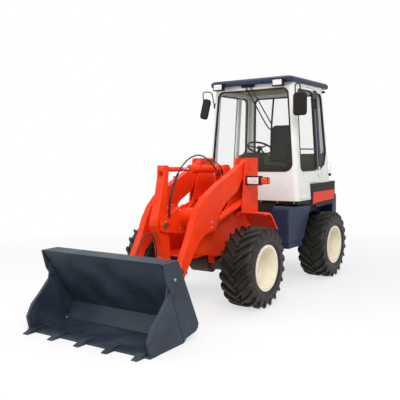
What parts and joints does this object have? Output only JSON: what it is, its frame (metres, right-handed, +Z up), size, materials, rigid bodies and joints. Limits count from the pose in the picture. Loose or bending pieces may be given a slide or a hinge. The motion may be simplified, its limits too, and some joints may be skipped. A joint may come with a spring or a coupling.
{
  "type": "compact articulated wheel loader",
  "caption": "Compact articulated wheel loader with an enclosed cab, twin-arm Z-bar boom and a multi-purpose bucket with an opening jaw.",
  "frame": {"origin": "middle of the footprint, on the ground", "axes": "+X is the machine's left, the front (bucket) faces -Y, +Z is up"},
  "size_m": [1.79, 4.866, 2.737],
  "materials": {
    "orange_paint": "vermilion gloss enamel, worn edges",
    "navy_paint": "dark slate blue enamel, scuffed",
    "white_paint": "off-white gloss enamel",
    "cream_paint": "cream gloss enamel",
    "chassis_paint": "brown-black satin paint",
    "engine_iron": "grey painted casting",
    "axle_paint": "dark grey satin paint",
    "black_trim": "black grained plastic",
    "tyre_rubber": "matt black rubber",
    "chrome_rod": "hard chrome, polished",
    "pin_steel": "ground steel",
    "clear_glass": "clear tempered glass",
    "lamp_lens": "ribbed lamp lens",
    "hose_rubber": "black hydraulic hose",
    "seal_rubber": "black rubber profile",
    "red_lens": "moulded red lens",
    "seat_vinyl": "black vinyl"
  },
  "bodies": {
    "rear": {"rear_axle": "axle_paint", "rear_chassis": "chassis_paint", "engine_block": "engine_iron", "engine_hood": "navy_paint", "rear_grille": "black_trim", "counterweight": "navy_paint", "rear_fenders": "black_trim", "side_covers": "orange_paint", "side_tanks": "navy_paint", "cab_front": "white_paint", "cab_rear": "white_paint", "cab_left_side": "white_paint", "cab_right_side": "white_paint", "window_seals": "seal_rubber", "cab_glass": "clear_glass", "cab_roof": "navy_paint", "cab_floor": "black_trim", "dash_console": "black_trim", "steering_wheel": "black_trim", "control_levers": "black_trim", "seat_base": "black_trim", "seat_pads": "seat_vinyl", "mirrors": "black_trim", "work_lamps": "lamp_lens", "rear_lamps": "red_lens"},
    "door": {"cab_door": "white_paint", "door_seal": "seal_rubber", "door_glass": "clear_glass"},
    "front": {"front_frame": "orange_paint", "front_axle": "axle_paint", "front_fenders": "orange_paint", "headlamps": "lamp_lens"},
    "wheel_front_left": {"tyre_front_left": "tyre_rubber", "rim_front_left": "cream_paint"},
    "wheel_front_right": {"tyre_front_right": "tyre_rubber", "rim_front_right": "cream_paint"},
    "wheel_rear_left": {"tyre_rear_left": "tyre_rubber", "rim_rear_left": "cream_paint"},
    "wheel_rear_right": {"tyre_rear_right": "tyre_rubber", "rim_rear_right": "cream_paint"},
    "boom": {"boom_arms": "orange_paint", "boom_cross": "orange_paint", "lever_pin": "pin_steel", "bucket_pins": "pin_steel", "boom_hose": "hose_rubber"},
    "lever": {"tilt_lever": "orange_paint", "link_pin": "pin_steel"},
    "link": {"bucket_link": "orange_paint"},
    "bucket": {"bucket_blade": "navy_paint", "bucket_hose": "hose_rubber"},
    "jaw": {"bucket_jaw": "navy_paint"},
    "lift_barrel_pair": {"lift_barrels": "orange_paint"},
    "lift_rod_pair": {"lift_rods": "chrome_rod"},
    "tilt_barrel_body": {"tilt_barrel": "orange_paint", "tilt_hose": "hose_rubber"},
    "tilt_rod_body": {"tilt_rod": "chrome_rod"},
    "jaw_barrel_pair": {"jaw_barrels": "navy_paint"},
    "jaw_rod_pair": {"jaw_rods": "chrome_rod"}
  },
  "joints": [
    {"name": "steer", "type": "hinge", "parent": "rear", "child": "front", "pos_m": [0, 0.673, 0.65], "axis": [0, 0, 1], "range_deg": [-35, 35]},
    {"name": "spin_front_left", "type": "hinge", "parent": "front", "child": "wheel_front_left", "pos_m": [0.678, -0.327, 0.46], "axis": [1, 0, 0], "continuous": true},
    {"name": "spin_front_right", "type": "hinge", "parent": "front", "child": "wheel_front_right", "pos_m": [-0.678, -0.327, 0.46], "axis": [1, 0, 0], "continuous": true},
    {"name": "spin_rear_left", "type": "hinge", "parent": "rear", "child": "wheel_rear_left", "pos_m": [0.678, 1.707, 0.46], "axis": [1, 0, 0], "continuous": true},
    {"name": "spin_rear_right", "type": "hinge", "parent": "rear", "child": "wheel_rear_right", "pos_m": [-0.678, 1.707, 0.46], "axis": [1, 0, 0], "continuous": true},
    {"name": "lift", "type": "hinge", "parent": "front", "child": "boom", "pos_m": [0, 0.123, 1.58], "axis": [-1, 0, 0], "range_deg": [0, 75]},
    {"name": "bucket_tilt", "type": "hinge", "parent": "boom", "child": "bucket", "pos_m": [0, -1.353, 0.325], "axis": [1, 0, 0], "range_deg": [-45, 120]},
    {"name": "jaw_open", "type": "hinge", "parent": "bucket", "child": "jaw", "pos_m": [0, -1.968, 0.621], "axis": [-1, 0, 0], "range_deg": [0, 60]},
    {"name": "lever_turn", "type": "hinge", "parent": "boom", "child": "lever", "pos_m": [0, -1.177, 0.985], "axis": [-1, 0, 0], "range_deg": [-5.04, 12.62]},
    {"name": "link_turn", "type": "hinge", "parent": "lever", "child": "link", "pos_m": [0, -1.207, 0.434], "axis": [-1, 0, 0], "range_deg": [-87.74, 33.22]},
    {"name": "lift_barrel_turn", "type": "hinge", "parent": "front", "child": "lift_barrel_pair", "pos_m": [0, 0.173, 1.2], "axis": [-1, 0, 0], "range_deg": [0, 67.25]},
    {"name": "lift_rod_slide", "type": "slide", "parent": "lift_barrel_pair", "child": "lift_rod_pair", "axis": [0, -0.9617, -0.274], "range_m": [0, 0.44968]},
    {"name": "tilt_barrel_turn", "type": "hinge", "parent": "front", "child": "tilt_barrel_body", "pos_m": [0, 0.108, 1.556], "axis": [-1, 0, 0], "range_deg": [0, 75.05]},
    {"name": "tilt_rod_slide", "type": "slide", "parent": "tilt_barrel_body", "child": "tilt_rod_body", "axis": [0, -0.9998, 0.0191], "range_m": [-0.12138, 0.04677]},
    {"name": "jaw_barrel_turn", "type": "hinge", "parent": "bucket", "child": "jaw_barrel_pair", "pos_m": [0, -1.657, 0.2], "axis": [-1, 0, 0], "range_deg": [-11.6, 0]},
    {"name": "jaw_rod_slide", "type": "slide", "parent": "jaw_barrel_pair", "child": "jaw_rod_pair", "axis": [0, -0.35, 0.9368], "range_m": [-0.11719, 0]},
    {"name": "door_open", "type": "hinge", "parent": "rear", "child": "door", "pos_m": [0.663, 1.5555, 1.9], "axis": [-0.0665, 0, 0.9978], "range_deg": [0, 100]}
  ],
  "couplings": [
    {"joint": "lever_turn", "follows": "bucket_tilt", "ratio": 0.101},
    {"joint": "link_turn", "follows": "bucket_tilt", "ratio": -0.727},
    {"joint": "lift_barrel_turn", "follows": "lift", "ratio": 0.89},
    {"joint": "lift_rod_slide", "follows": "lift", "m_per_rad": 0.342},
    {"joint": "tilt_barrel_turn", "follows": "lift", "ratio": 0.994},
    {"joint": "tilt_rod_slide", "follows": "bucket_tilt", "m_per_rad": -0.057},
    {"joint": "jaw_barrel_turn", "follows": "jaw_open", "ratio": -0.185},
    {"joint": "jaw_rod_slide", "follows": "jaw_open", "m_per_rad": -0.11}
  ]
}
